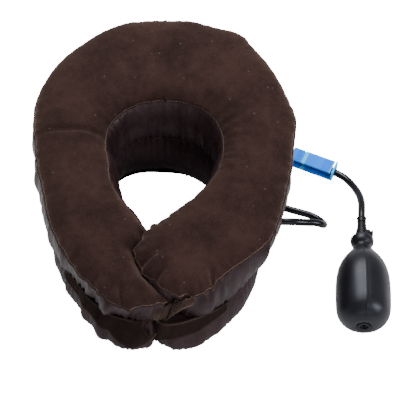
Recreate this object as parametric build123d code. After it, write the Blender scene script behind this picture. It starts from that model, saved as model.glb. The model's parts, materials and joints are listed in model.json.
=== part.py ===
from build123d import *
import math
import os

os.makedirs("parts", exist_ok=True)

# ---------------------------------------------------------------- driving sizes (mm)
BACK_SHIFT = 18.0        # plan points below are measured from a line 18 mm in front of the base's centre
TOP_Z, TOP_SLOPE = 95.0, 0.20      # height of the velvet face at plan y = 0, and its rise to the back
MID_Z, MID_SLOPE = 44.0, 0.15      # seam plane between the two air chambers
LAP_Z, LAP_SLOPE = 62.0, 0.15      # plane where the right end lies on the left end
SKIN = 1.2               # cover cloth with its lining
SKIN_GAP = 0.6           # play between cover and air chamber
FILM = 0.6               # air chamber wall
LAP_GAP = 0.8            # between the overlapped ends
EDGE_H = 14.0            # height over which the lower tier's bottom edge rounds in
EDGE_IN = 13.0           # how far the outer bottom edge rounds in
EDGE_IN_BORE = 4.0       # how far the bottom edge on the neck side rounds in

HOSE_D = 7.5
PORT_Z = 27.0
BULB_R = 26.8
BULB_WALL = 2.2
BULB_Z = 27.0
BULB_ANCHOR = (198.9, -18.5)       # centre of the bulb's rolled rim, plan
BULB_TILT = 3.9                    # degrees that the bulb's axis leans from the front-back line
CLAMP_RIGHT = (180.5, 81.6)        # bulb-side end of the pinch clamp, plan
CLAMP_ANGLE = -25.2                # degrees
CLAMP_L, CLAMP_W = 50.0, 17.0
CLAMP_AXIS_Z = 5.75

# ---------------------------------------------------------------- plan outlines
UR_OUT = [(0, 176), (27, 175), (51, 169), (74, 160), (89, 149), (100, 133), (111, 114), (121, 94), (126, 72),
          (126, 49), (123, 24), (118, -1), (113, -25), (107, -43), (98, -57), (82, -73), (66, -86), (52, -98),
          (36, -109), (17, -114), (4, -111), (-6, -103), (-17, -94), (-23, -82), (-26, -70), (-22, -60), (-14, -49)]
UR_IN = [(-12, -47), (-1, -38), (12, -27), (34, -8), (48, 10), (56, 28), (58, 44), (55, 59), (48, 72), (36, 83),
         (18, 89), (0, 91)]
UL_OUT = [(0, 176), (-22, 175), (-45, 171), (-73, 158), (-100, 136), (-117, 111), (-126, 87), (-128, 61),
          (-124, 24), (-117, -8), (-110, -36), (-102, -55), (-91, -73), (-79, -90), (-66, -103), (-51, -114),
          (-36, -120), (-22, -121), (-9, -118), (3, -110), (13, -98), (17, -84), (12, -67), (1, -55), (-11, -48)]
UL_IN = [(-14, -47), (-25, -33), (-39, -13), (-50, 8), (-55, 24), (-58, 39), (-57, 54), (-53, 66), (-42, 79),
         (-26, 88), (-10, 91), (0, 91)]
LR_OUT = [(0, 170), (26, 168), (49, 161), (70, 148), (84, 130), (93, 110), (100, 90), (105, 68), (107, 45),
          (107, 22), (105, -2), (101, -25), (93, -47), (85, -65), (74, -85), (61, -103), (47, -119), (34, -129),
          (21, -134), (7, -134), (-3, -128), (-7.4, -116), (-8, -92), (-9.6, -68), (-12, -52)]
LR_IN = [(-11.6, -49), (-2, -40), (11, -29), (27, -15), (41, -1), (50, 14), (54, 30), (53, 46), (46, 60), (33, 71),
         (17, 78.5), (0, 81)]
LL_OUT = [(0, 170), (-20, 169), (-44, 164), (-72, 151), (-98, 130), (-114, 107), (-122, 84), (-125, 57),
          (-123, 27), (-118, -2), (-110, -37), (-102, -60), (-86, -88), (-68, -110), (-53, -126), (-39, -133.5),
          (-27, -134.5), (-16, -130), (-10.4, -120), (-9.2, -92), (-11, -68), (-13, -52)]
LL_IN = [(-13.2, -49), (-22, -36), (-33, -19), (-44, -1), (-52, 18), (-56, 35), (-57, 50), (-54, 64), (-42, 76),
         (-24, 81.5), (0, 81)]


def smooth(points, step=9.0):
    """Evenly spread points on a Catmull-Rom curve through the given ones."""
    p = [points[0]] + list(points) + [points[-1]]
    dense = []
    for i in range(1, len(p) - 2):
        p0, p1, p2, p3 = p[i - 1], p[i], p[i + 1], p[i + 2]
        n = 12
        for k in range(n):
            t = k / n
            dense.append(tuple(
                0.5 * (2 * p1[a] + (p2[a] - p0[a]) * t + (2 * p0[a] - 5 * p1[a] + 4 * p2[a] - p3[a]) * t * t
                       + (3 * p1[a] - p0[a] - 3 * p2[a] + p3[a]) * t ** 3) for a in (0, 1)))
    dense.append(tuple(points[-1]))
    length = [0.0]
    for a, b in zip(dense, dense[1:]):
        length.append(length[-1] + math.dist(a, b))
    count = max(3, round(length[-1] / step))
    out, j = [], 0
    for k in range(count + 1):
        s = length[-1] * k / count
        while j < len(length) - 2 and length[j + 1] < s:
            j += 1
        u = (s - length[j]) / max(1e-9, length[j + 1] - length[j])
        u = min(1.0, max(0.0, u))
        out.append((dense[j][0] + u * (dense[j + 1][0] - dense[j][0]), dense[j][1] + u * (dense[j + 1][1] - dense[j][1])))
    return out


def shifted(points, d, side):
    """Move an open line of points by d to its right (side 1) or left (side -1)."""
    out = []
    for i, p in enumerate(points):
        a, b = points[max(0, i - 1)], points[min(len(points) - 1, i + 1)]
        tx, ty = b[0] - a[0], b[1] - a[1]
        n = math.hypot(tx, ty)
        out.append((p[0] + side * d * ty / n, p[1] - side * d * tx / n))
    return out


def crossing(a, b, c, d):
    den = (b[0] - a[0]) * (d[1] - c[1]) - (b[1] - a[1]) * (d[0] - c[0])
    if abs(den) < 1e-12:
        return None
    t = ((c[0] - a[0]) * (d[1] - c[1]) - (c[1] - a[1]) * (d[0] - c[0])) / den
    u = ((c[0] - a[0]) * (b[1] - a[1]) - (c[1] - a[1]) * (b[0] - a[0])) / den
    return (a[0] + t * (b[0] - a[0]), a[1] + t * (b[1] - a[1])) if 0 <= t <= 1 and 0 <= u <= 1 else None


def half_plan(outer, inner, side, d_out, d_in, past=0.0):
    """Plan outline of one arm, moved in by d_out on its outer line and d_in on its neck line."""
    o = shifted(smooth(outer), d_out, side)
    i = shifted(smooth(inner), d_in, side)
    hit = None
    for k in range(len(o) - 2, len(o) // 2, -1):
        for m in range(0, len(i) // 2):
            x = crossing(o[k], o[k + 1], i[m], i[m + 1])
            if x:
                hit = (k, m, x)
        if hit:
            break
    if hit:
        k, m, x = hit
        o = o[:k + 1]
        i = i[m + 1:]
        if math.dist(o[-1], x) < 2.5:
            o = o[:-1]
        if math.dist(i[0], x) < 2.5:
            i = i[1:]
        o, i = o + [x], [x] + i
    o[0] = (-side * past, o[0][1])
    i[-1] = (-side * past, i[-1][1])
    return o, i


def face_at(plan, z):
    o, i = plan
    o3 = [Vector(x, y - BACK_SHIFT, z) for x, y in o]
    i3 = [Vector(x, y - BACK_SHIFT, z) for x, y in i]
    edges = [Spline(*o3)]
    if (o3[-1] - i3[0]).length > 1e-6:
        edges.append(Line(o3[-1], i3[0]))
    edges += [Spline(*i3), Line(i3[-1], o3[0])]
    return make_face(Wire(edges))


def over(z0, slope):
    """Everything above a plane that rises to the back."""
    z_row = z0 + slope * BACK_SHIFT
    return Pos(0, 0, z_row) * Rot(math.degrees(math.atan(slope)), 0, 0) * Pos(0, 0, 150) * Box(700, 700, 300)


def under(z0, slope):
    z_row = z0 + slope * BACK_SHIFT
    return Pos(0, 0, z_row) * Rot(math.degrees(math.atan(slope)), 0, 0) * Pos(0, 0, -150) * Box(700, 700, 300)


FRONT_ZONE = Pos(0, -100, 60) * Box(160, 150, 200)       # where the ends overlap


def prism(plan, z0, z1):
    return extrude(face_at(plan, z0), amount=z1 - z0, dir=(0, 0, 1))


def upper_solid(d, floor_in, cap=True):
    """The upper tier as one lapped ring, moved in by d all round."""
    past = 0.0 if d == 0 else 6.0
    right = prism(half_plan(UR_OUT, UR_IN, 1, d, d, past), 5, 160)
    left = prism(half_plan(UL_OUT, UL_IN, -1, d, d, past), 5, 160)
    e = LAP_GAP / 2 + d
    tool_l = (prism(half_plan(UL_OUT, UL_IN, -1, -e, -e), -5, 170) & FRONT_ZONE) - over(LAP_Z + e, LAP_SLOPE)
    tool_r = (prism(half_plan(UR_OUT, UR_IN, 1, -e, -e), -5, 170) & FRONT_ZONE) - under(LAP_Z - e, LAP_SLOPE)
    ring = (right - tool_l) + (left - tool_r)
    ring = ring - over(TOP_Z - d, TOP_SLOPE)
    return ring - under(MID_Z + 0.4 + floor_in, MID_SLOPE)


def lower_solid(d, base_in, top_in):
    """The lower tier as one open ring whose two ends meet at the front."""
    past = 0.0 if d == 0 else 6.0
    halves = []
    for out, inn, side in ((LR_OUT, LR_IN, 1), (LL_OUT, LL_IN, -1)):
        full = half_plan(out, inn, side, d, d, past)
        foot = half_plan(out, inn, side, d + EDGE_IN * (1 - base_in / EDGE_H), d + EDGE_IN_BORE * (1 - base_in / EDGE_H), past)
        wall = prism(full, EDGE_H, 100)
        edge = loft([face_at(foot, base_in), face_at(full, EDGE_H)], ruled=True)
        halves.append(wall + edge)
    ring = halves[0] + halves[1]
    return ring - over(MID_Z - top_in, MID_SLOPE)


def solid_only(shape):
    s = shape.solids()
    s = sorted(s, key=lambda q: q.volume, reverse=True)
    return s


def save(shape, name):
    solids = solid_only(shape)
    keep = [q for q in solids if q.volume > 0.02 * solids[0].volume] if len(solids) > 1 else solids
    out = keep[0] if len(keep) == 1 else Compound(children=keep)
    export_step(out, f"parts/{name}.step")
    bb = out.bounding_box()
    print(f"{name:22s} solids {len(keep)} of {len(solids)} valid {all(q.is_valid for q in keep)} vol {sum(q.volume for q in keep):10.1f} "
          f"z {bb.min.Z:.2f}..{bb.max.Z:.2f} x {bb.min.X:.1f}..{bb.max.X:.1f} y {bb.min.Y:.1f}..{bb.max.Y:.1f}")
    return out


# ---------------------------------------------------------------- the neck opening, used to part inner from outer walls
def bore_prism(right_in, left_in, grow):
    r = shifted(smooth(right_in), grow, 1)
    l = shifted(smooth(left_in), grow, -1)
    pts = r[:-1] + list(reversed(l))
    pts = [(x, y - BACK_SHIFT) for x, y in pts]
    return Pos(0, 0, -10) * extrude(make_face(Polyline(*pts, close=True)), amount=190, dir=(0, 0, 1))


# ---------------------------------------------------------------- transfer tube between the chambers
TUBE_AT = Pos(0, 130 - BACK_SHIFT, 0)
TUBE_Z = MID_Z + MID_SLOPE * 130
tube_bore = TUBE_AT * Pos(0, 0, TUBE_Z) * Cylinder(4.6, 40)
tube = TUBE_AT * Pos(0, 0, TUBE_Z) * (Cylinder(4.2, 16) - Cylinder(3.0, 30))
for dz in (-6.2, 6.2):
    tube += TUBE_AT * Pos(0, 0, TUBE_Z + dz) * (Cylinder(8.0, 1.0) - Cylinder(3.0, 3))
# the flanges slope with the seam, so the tube is turned with it
tube = Pos(0, 130 - BACK_SHIFT, TUBE_Z) * Rot(math.degrees(math.atan(MID_SLOPE)), 0, 0) * Pos(0, -(130 - BACK_SHIFT), -TUBE_Z) * tube
tube_bore = Pos(0, 130 - BACK_SHIFT, TUBE_Z) * Rot(math.degrees(math.atan(MID_SLOPE)), 0, 0) * Pos(0, -(130 - BACK_SHIFT), -TUBE_Z) * tube_bore
save(tube, "transfer_tube")

# ---------------------------------------------------------------- air port on the lower tier's right side
PORT_Y = 1.6 - BACK_SHIFT
port_axis = lambda x: Pos(x, PORT_Y, PORT_Z) * Rot(0, 90, 0)
port_bore = port_axis(105) * Cylinder(5.6, 24)
flange = port_axis(100.3) * Cylinder(12, 1.4) + port_axis(105.9) * Cylinder(5.2, 10.6)
flange += port_axis(108.8) * Cylinder(7.0, 4.8)
flange -= port_axis(106) * Cylinder(3.3, 30)
save(flange, "port_flange")
nipple = port_axis(111.4) * Cylinder(3.1, 13.1) + port_axis(114.65) * Cone(5.2, 4.4, 6.6)
nipple -= port_axis(111) * Cylinder(1.7, 40)
save(nipple, "port_nipple")

# ---------------------------------------------------------------- upper tier
u_full = upper_solid(0.0, 0.0)
u_cavity = upper_solid(SKIN, -6.0)
u_skin = u_full - u_cavity
velvet = u_full - under(TOP_Z - SKIN, TOP_SLOPE)
walls = u_skin - over(TOP_Z - SKIN - 0.05, TOP_SLOPE)
bore_u = bore_prism(UR_IN, UL_IN, 3.0)
save(velvet, "upper_top_panel")
save(walls & bore_u, "upper_inner_wall")
save(walls - bore_u, "upper_outer_wall")
u_blad = upper_solid(SKIN + SKIN_GAP, 0.6) - upper_solid(SKIN + SKIN_GAP + FILM, 0.6 + FILM) - tube_bore
save(u_blad, "upper_bladder")

# edge binding sewn along the velvet's outer edge, just under it
band = prism(half_plan(UR_OUT, UR_IN, 1, -1.5, 0), 5, 160) - prism(half_plan(UR_OUT, UR_IN, 1, -0.15, -8, 3), 4, 161)
band_l = prism(half_plan(UL_OUT, UL_IN, -1, -1.5, 0), 5, 160) - prism(half_plan(UL_OUT, UL_IN, -1, -0.15, -8, 3), 4, 161)
slab = over(TOP_Z - 3.6, TOP_SLOPE) - over(TOP_Z - 0.6, TOP_SLOPE)
binding = (band & slab & (Pos(150, 0, 80) * Box(300, 500, 300))) + (band_l & slab & (Pos(-150, 0, 80) * Box(300, 500, 300)))
right_clear = prism(half_plan(UR_OUT, UR_IN, 1, -2.4, -2.4), 0, 170) & FRONT_ZONE
left_keep = (band_l & slab & (Pos(-150, 0, 80) * Box(300, 500, 300))) - right_clear
binding = (band & slab & (Pos(150, 0, 80) * Box(300, 500, 300))) + left_keep
save(binding - u_full, "upper_edge_binding")

# ---------------------------------------------------------------- lower tier
l_full = lower_solid(0.0, 0.0, 0.0)
l_cavity = lower_solid(SKIN, SKIN, SKIN)
l_skin = l_full - l_cavity
div_cut = over(MID_Z - SKIN - 0.05, MID_SLOPE)
base_cut = Pos(0, 0, SKIN + 0.05 - 50) * Box(700, 700, 100)
bore_l = bore_prism(LR_IN, LL_IN, 6.0)
save(l_full - under(MID_Z - SKIN, MID_SLOPE) - tube_bore, "tier_divider_panel")
save(l_full & (Pos(0, 0, SKIN - 50) * Box(700, 700, 100)), "bottom_panel")
l_walls = l_skin - div_cut - base_cut
save(l_walls & bore_l, "lower_inner_wall")
save((l_walls - bore_l) - port_bore, "lower_outer_wall")
l_blad = lower_solid(SKIN + SKIN_GAP, SKIN + SKIN_GAP, SKIN + SKIN_GAP) - lower_solid(SKIN + SKIN_GAP + FILM, SKIN + SKIN_GAP + FILM, SKIN + SKIN_GAP + FILM)
l_blad = l_blad - tube_bore - port_bore
save(l_blad, "lower_bladder")

# ---------------------------------------------------------------- closures of the lower tier
def wall_band(out, inn, side, lift, thick, x_lo, x_hi, y_hi, z_bottom, top_drop):
    """A strip of cloth that follows an arm's outer wall."""
    strip = prism(half_plan(out, inn, side, -(lift + thick), 0), 2, 80) - prism(half_plan(out, inn, side, -lift, -10, 4), 1, 81)
    zone = Pos((x_lo + x_hi) / 2, (y_hi - 170) / 2 - BACK_SHIFT, 0) * Box(x_hi - x_lo, y_hi + 170, 300)
    strip = strip & zone
    strip = strip - (Pos(0, 0, z_bottom - 100) * Box(700, 700, 200))
    return strip - over(MID_Z - top_drop, MID_SLOPE)


loop_band = wall_band(LR_OUT, LR_IN, 1, 0.4, 1.5, -3.5, 58.0, -70, EDGE_H + 0.4, 2.2)
save(loop_band, "lower_loop_band")
hook_band = wall_band(LL_OUT, LL_IN, -1, 0.4, 1.5, -101.0, -46.5, -50, EDGE_H + 0.6, 3.0)
save(hook_band, "lower_hook_band")

TAB_Y = -138.2                       # plan line of the closing tab's inner face
TAB_OUTLINE = [(-44.6, 15.0), (-44.6, 25.8), (-6, 26.4), (8, 24.6), (14.5, 20.2), (7, 15.8), (-6, 14.6)]
tab_face = make_face(Polyline(*[Vector(x, -200, z) for x, z in TAB_OUTLINE], close=True))
tab_line = [(-46, -135.0), (-38, -137.0), (-26, -138.1), (-10, TAB_Y), (4, TAB_Y), (17, TAB_Y)]
tab_in = [Vector(x, y - BACK_SHIFT, 0) for x, y in tab_line]
tab_out = [Vector(x, y - 1.6 - BACK_SHIFT, 0) for x, y in tab_line]
tab_plan = make_face(Wire([Spline(*tab_in), Line(tab_in[-1], tab_out[-1]), Spline(*reversed(tab_out)), Line(tab_out[0], tab_in[0])]))
tab = extrude(tab_plan, amount=60, dir=(0, 0, 1)) & extrude(tab_face, amount=150, dir=(0, 1, 0))
save(tab, "lower_hook_tab")
patch_face = make_face(Polyline(*[Vector(x, 0, z) for x, z in
                                  [(-3.0, 16.2), (-3.0, 24.8), (6, 23.4), (10.5, 20.2), (5.6, 17.0)]], close=True))
patch = Pos(0, TAB_Y - BACK_SHIFT + 0.12, 0) * extrude(patch_face, amount=0.9, dir=(0, 1, 0))
save(patch, "hook_patch")

# velvet fold that closes the upper tier between the two arm ends
fold_pts = [(-12, -121.6), (-2, -119.4), (9, -117.6), (20, -118.6), (31, -116.2), (36, -113.6)]
fo = [Vector(x, y - BACK_SHIFT, 0) for x, y in fold_pts]
fi = [Vector(x - 0.4, y - BACK_SHIFT - 4.6, 0) for x, y in fold_pts]
fold_face = make_face(Wire([Spline(*fo), Line(fo[-1], fi[-1]), Spline(*reversed(fi)), Line(fi[0], fo[0])]))
fold = Pos(0, 0, 29.0) * extrude(fold_face, amount=17.0, dir=(0, 0, 1))
save(fold, "upper_closure_fold")

# ---------------------------------------------------------------- pinch clamp
ca = math.radians(CLAMP_ANGLE)
CLAMP_LEFT = (CLAMP_RIGHT[0] - CLAMP_L * math.cos(ca), CLAMP_RIGHT[1] - CLAMP_L * math.sin(ca))
clamp_at = Pos(CLAMP_LEFT[0], CLAMP_LEFT[1] - BACK_SHIFT, 0) * Rot(0, 0, CLAMP_ANGLE)
ARM_T = 1.8
HINGE_X, ARM_TOP = 13.6, 13.1
HOLE_R = 4.0


def cbox(x0, x1, y0, y1, z0, z1):
    return Pos((x0 + x1) / 2, (y0 + y1) / 2, (z0 + z1) / 2) * Box(x1 - x0, y1 - y0, z1 - z0)


W = CLAMP_W / 2
base = cbox(0, CLAMP_L, -W, W, 0.15, 0.15 + ARM_T)
base += cbox(0, ARM_T, -W, W, 0.15, ARM_TOP)
base += cbox(CLAMP_L - ARM_T, CLAMP_L, -W, W, 0.15, ARM_TOP + 0.6)
base += cbox(0, HINGE_X - 1.2, -W, W, ARM_TOP - ARM_T, ARM_TOP)
base += cbox(HINGE_X - 1.2, HINGE_X - 0.1, -W + 0.6, W - 0.6, ARM_TOP - ARM_T, ARM_TOP - ARM_T + 0.7)   # thin living hinge
base += cbox(CLAMP_L - ARM_T - 1.0, CLAMP_L - ARM_T + 0.2, -4.6, 4.6, 5.9, 7.6) - Pos(0, 0, CLAMP_AXIS_Z) * Rot(0, 90, 0) * Cylinder(HOLE_R, 200)
for sx in (0.9, CLAMP_L - 0.9):
    base -= Pos(sx, 0, CLAMP_AXIS_Z) * Rot(0, 90, 0) * Cylinder(HOLE_R, 6)
base -= cbox(CLAMP_L - 4, CLAMP_L + 1, -2.2, 2.2, 10.9, 12.4)        # finger slot of the latch wall
for k in range(4):
    base += cbox(6.4 + 1.5 * k, 7.1 + 1.5 * k, -W + 1.2, W - 1.2, ARM_TOP - 0.05, ARM_TOP + 0.35)       # grip ribs by the hinge
lever = cbox(HINGE_X + 0.15, CLAMP_L - ARM_T - 1.35, -W, W, ARM_TOP - ARM_T, ARM_TOP)
bar_x = 31.0
lever += Pos(bar_x, 0, ARM_TOP - ARM_T) * Rot(90, 0, 0) * Cylinder(1.3, CLAMP_W - 2.0)
for k in range(5):
    lever += cbox(36.0 + 2.0 * k, 36.9 + 2.0 * k, -W + 1.6, W - 1.6, ARM_TOP - 0.05, ARM_TOP + 0.4)      # thumb ribs
save(clamp_at * base, "clamp_base")
save(clamp_at * lever, "clamp_lever")
hinge_local = clamp_at * Pos(HINGE_X, 0, ARM_TOP - ARM_T + 0.4)
print("clamp hinge at", hinge_local.position)

# ---------------------------------------------------------------- bulb, its valves and the connector
ba = math.radians(BULB_TILT)
# local frame: +Y runs from the bulb to the hose, +X to the release button's side
bulb_at = Pos(BULB_ANCHOR[0], BULB_ANCHOR[1] - BACK_SHIFT, BULB_Z) * Rot(0, 0, -BULB_TILT)
PROFILE = [(9.6, 0.0), (11.2, 0.9), (11.7, 3.6), (11.3, 7.6), (9.7, 9.6), (9.4, 12.2), (10.8, 16.0), (14.8, 21.5),
           (19.6, 28.0), (23.6, 36.5), (25.9, 46.0), (26.8, 58.0), (26.8, 72.0), (26.3, 84.0), (24.2, 92.0),
           (19.4, 98.2), (13.0, 101.6), (9.2, 102.6)]
INLET_R = 6.4


def bulb_outer():
    pts = [Vector(r, -s, 0) for r, s in PROFILE]
    curve = Spline(*pts)
    edges = [curve, Line(pts[-1], (INLET_R + 0.2, -102.7, 0)), Line((INLET_R + 0.2, -102.7, 0), (INLET_R + 0.2, -99.2, 0)),
             Line((INLET_R + 0.2, -99.2, 0), (INLET_R - 1.4, -99.2, 0)), Line((INLET_R - 1.4, -99.2, 0), (INLET_R - 1.4, -96.6, 0))]
    inner = [(7.5, 0.0), (7.5, 11.8), (9.4, 17.4), (12.8, 22.8), (17.4, 29.2), (21.3, 37.4), (23.6, 46.6), (24.5, 58.2),
             (24.5, 72.0), (24.0, 83.0), (21.9, 90.0), (17.6, 95.2), (12.0, 96.6)]
    ip = [Vector(r, -s, 0) for r, s in inner]
    edges += [Line((INLET_R - 1.4, -96.6, 0), ip[-1]), Spline(*reversed(ip[1:])), Line(ip[1], ip[0]), Line(ip[0], pts[0])]
    return revolve(make_face(Wire(edges)), axis=Axis.Y)


bulb = bulb_outer()
gap = 0.05
right_half = bulb & (Pos(50 + gap, 0, 0) * Box(100, 300, 100))
left_half = bulb & (Pos(-50 - gap, 0, 0) * Box(100, 300, 100))
save(bulb_at * left_half, "bulb_left_half")
save(bulb_at * right_half, "bulb_right_half")

# inlet valve in the tail
seat = Pos(0, -101.2, 0) * Rot(90, 0, 0) * (Cylinder(INLET_R, 3.4) - Cylinder(2.0, 10) - Pos(0, 0, 1.2) * Cylinder(4.4, 1.2))
seat += Pos(0, -96.7, 0) * Rot(90, 0, 0) * (Cylinder(INLET_R - 1.6, 5.7) - Cylinder(2.0, 10))
seat -= Pos(0, -96.0, 0) * Rot(90, 0, 0) * Cylinder(3.3, 4.6)
for a in range(4):
    seat -= Pos(0, -102.6, 0) * Rot(0, 45 + 90 * a, 0) * Pos(3.2, 0, 0) * Box(1.6, 1.0, 1.0)
seat += Pos(0, -93.4, 0) * Rot(90, 0, 0) * (Cylinder(4.8, 0.9) - Cylinder(1.9, 3))
save(bulb_at * seat, "inlet_valve_seat")
disc = Pos(0, -97.8, 0) * Rot(90, 0, 0) * Cylinder(2.9, 0.9)
save(bulb_at * disc, "inlet_valve_disc")

# one-piece connector: plug in the bulb's neck, cone to the hose, boss for the release button
body = Pos(0, -6.0, 0) * Rot(90, 0, 0) * Cylinder(7.3, 12.6)
body += Pos(0, 0.85, 0) * Rot(90, 0, 0) * Cylinder(8.6, 1.1)
body += Pos(0, 1.4 + 8.3, 0) * Rot(-90, 0, 0) * Cone(6.3, 4.3, 16.6)
for k in range(8):
    body += Rot(0, 45 * k + 22.5, 0) * Pos(5.75, 5.2, 0) * Box(1.2, 7.6, 0.9)
body += Pos(4.2, 6.0, 0) * Rot(0, 90, 0) * Cylinder(4.1, 8.4)
body -= Pos(0, 4, 0) * Rot(90, 0, 0) * Cylinder(1.5, 60)
body -= Pos(0, -8.9, 0) * Rot(90, 0, 0) * Cylinder(4.2, 4.2)
body -= Pos(0, -11.6, 0) * Rot(90, 0, 0) * Cylinder(2.2, 2.4)
body -= Pos(1.6, 6.0, 0) * Rot(0, 90, 0) * Cylinder(0.8, 2.4)
body -= Pos(5.6, 6.0, 0) * Rot(0, 90, 0) * Cylinder(2.95, 6.4)
save(bulb_at * body, "valve_body")
flap = Pos(0, -10.6, 0) * Rot(90, 0, 0) * Cylinder(3.9, 0.7)
save(bulb_at * flap, "outlet_valve_flap")
button = Pos(8.35, 6.0, 0) * Rot(0, 90, 0) * Cylinder(2.85, 4.1)
button += Pos(10.7, 6.0, 0) * Rot(0, 90, 0) * Cylinder(3.6, 0.9)
save(bulb_at * button, "release_button")
spring = Pos(2.7, 6.0, 0) * Rot(0, 90, 0) * (Cylinder(2.5, 0.5) - Cylinder(1.9, 2))
for k in range(3):
    spring += Pos(3.8 + 1.1 * k, 6.0, 0) * Rot(0, 90, 0) * (Cylinder(2.5, 0.5) - Cylinder(1.9, 2))
for k, a in enumerate((0, 180, 0)):
    spring += Pos(3.25 + 1.1 * k, 6.0, 0) * Rot(a, 0, 0) * Pos(0, 0, 2.2) * Box(0.9, 0.9, 0.5)
save(bulb_at * spring, "release_spring")
ferrule = Pos(0, 21.6, 0) * Rot(90, 0, 0) * (Cylinder(4.6, 5.6) - Cylinder(3.85, 20))
ferrule += Pos(0, 24.0, 0) * Rot(90, 0, 0) * (Cylinder(5.0, 0.9) - Cylinder(3.85, 20))
save(bulb_at * ferrule, "hose_ferrule")
HOSE_END_T = 18.15

# ---------------------------------------------------------------- air hose, one soft tube from the port to the bulb
def plan3(x, y, z):
    return Vector(x, y - BACK_SHIFT, z)


hx, hy = math.sin(ba), math.cos(ba)
end = (BULB_ANCHOR[0] + HOSE_END_T * hx, BULB_ANCHOR[1] + HOSE_END_T * hy)
e2 = (BULB_ANCHOR[0] + (HOSE_END_T + 12.5) * hx, BULB_ANCHOR[1] + (HOSE_END_T + 12.5) * hy)
cl = (CLAMP_LEFT[0] - 8 * math.cos(ca), CLAMP_LEFT[1] - 8 * math.sin(ca))
cm = (CLAMP_LEFT[0] + 25 * math.cos(ca) + 0.25 * math.sin(ca), CLAMP_LEFT[1] + 25 * math.sin(ca) - 0.25 * math.cos(ca))
cr = (CLAMP_RIGHT[0] + 8 * math.cos(ca), CLAMP_RIGHT[1] + 8 * math.sin(ca))
ROUTE = [(118.05, 1.6, 27.0), (130, 1.6, 27.0), (143, 3.4, 22.9), (154.9, 4.7, 21.0), (162.5, 5.9, 14.8), (164.6, 11.9, 7.5),
         (159.7, 20.0, 4.4), (152.5, 25.6, 3.9), (142.3, 29.3, 3.75), (130.6, 33.1, 3.75), (118.5, 37.8, 3.75), (110.6, 47.5, 3.75),
         (107.8, 60.2, 3.75), (106.6, 72.8, 3.75), (102.8, 84.8, 3.75), (100.2, 96.8, 3.75), (104.6, 108.0, 3.9),
         (115.2, 112.3, 4.6), (cl[0], cl[1], CLAMP_AXIS_Z),
         (cm[0], cm[1], CLAMP_AXIS_Z), (cr[0], cr[1], CLAMP_AXIS_Z), (197.6, 62.0, 9.5), (202.6, 44.5, 16.5),
         (203.2, 27.5, 23.4), (e2[0], e2[1], BULB_Z), (end[0], end[1], BULB_Z)]
pts = [plan3(*p) for p in ROUTE]
radii = []
for a, b, c in zip(pts, pts[1:], pts[2:]):
    u, v = b - a, c - b
    turn = math.radians(u.get_angle(v))
    radii.append(0.45 * min(u.length, v.length) / math.tan(turn / 2))
    print(f"hose point ({b.X:.2f},{b.Y:.2f},{b.Z:.2f}) turn {math.degrees(turn):.1f} run {u.length:.1f} radius {radii[-1]:.1f}")
path = FilletPolyline(*pts, radius=radii)
section = Plane(origin=path @ 0, z_dir=path % 0) * Circle(HOSE_D / 2)
hose = sweep(section, path=path)
print("hose length", path.length, "volume", hose.volume, "expected", math.pi * HOSE_D ** 2 / 4 * path.length)
print("ROUTE_M =", [(round(p.X / 1000, 5), round(p.Y / 1000, 5), round(p.Z / 1000, 5)) for p in pts])
save(hose, "air_hose")
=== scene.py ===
import json
import math

import bmesh
import bpy
import numpy as np
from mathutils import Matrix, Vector, geometry


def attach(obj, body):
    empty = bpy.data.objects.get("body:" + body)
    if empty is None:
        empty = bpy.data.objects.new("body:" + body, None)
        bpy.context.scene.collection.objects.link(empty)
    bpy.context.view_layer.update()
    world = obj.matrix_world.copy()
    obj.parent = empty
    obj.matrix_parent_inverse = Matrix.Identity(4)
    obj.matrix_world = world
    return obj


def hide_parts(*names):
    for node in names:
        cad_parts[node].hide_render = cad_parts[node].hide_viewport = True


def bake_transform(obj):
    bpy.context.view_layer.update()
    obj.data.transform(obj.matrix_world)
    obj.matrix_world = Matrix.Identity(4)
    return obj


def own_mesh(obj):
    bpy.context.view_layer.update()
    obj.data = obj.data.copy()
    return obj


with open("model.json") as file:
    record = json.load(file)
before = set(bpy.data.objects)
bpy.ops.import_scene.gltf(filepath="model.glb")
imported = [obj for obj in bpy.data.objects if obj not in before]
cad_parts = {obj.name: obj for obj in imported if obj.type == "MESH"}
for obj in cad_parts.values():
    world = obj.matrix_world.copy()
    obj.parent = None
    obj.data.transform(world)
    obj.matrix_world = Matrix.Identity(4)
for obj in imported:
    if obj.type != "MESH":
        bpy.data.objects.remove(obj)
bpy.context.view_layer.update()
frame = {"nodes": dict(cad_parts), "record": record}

scene = bpy.context.scene
SHIFT = 18.0


def to_m(p):
    """Plan points in mm, measured as part.py does, to the frame's metres."""
    p = np.asarray(p, float)
    q = p.copy()
    q[..., 1] = q[..., 1] - SHIFT
    return q / 1000.0


# ------------------------------------------------------------------ camera
cam_data = bpy.data.cameras.new("camera")
cam_data.sensor_width = 36.0
cam_data.lens = 99.0
cam_data.clip_start, cam_data.clip_end = 0.05, 20
camera = bpy.data.objects.new("camera", cam_data)
scene.collection.objects.link(camera)
camera.location = to_m((35.0, -641.6, 949.9))
aim = Vector(to_m((35.0, 5.0, 60.0))) - camera.location
camera.rotation_euler = aim.to_track_quat("-Z", "Y").to_euler()
scene.camera = camera


# ------------------------------------------------------------------ materials
def new_mat(name):
    mat = bpy.data.materials.new(name)
    mat.use_nodes = True
    nt = mat.node_tree
    nt.nodes.clear()
    out = nt.nodes.new("ShaderNodeOutputMaterial")
    bsdf = nt.nodes.new("ShaderNodeBsdfPrincipled")
    nt.links.new(bsdf.outputs["BSDF"], out.inputs["Surface"])
    return mat, nt, bsdf


def add(nt, kind, **values):
    n = nt.nodes.new(kind)
    for k, v in values.items():
        if hasattr(n, k):
            setattr(n, k, v)
        else:
            n.inputs[k.replace("_", " ")].default_value = v
    return n


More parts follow.
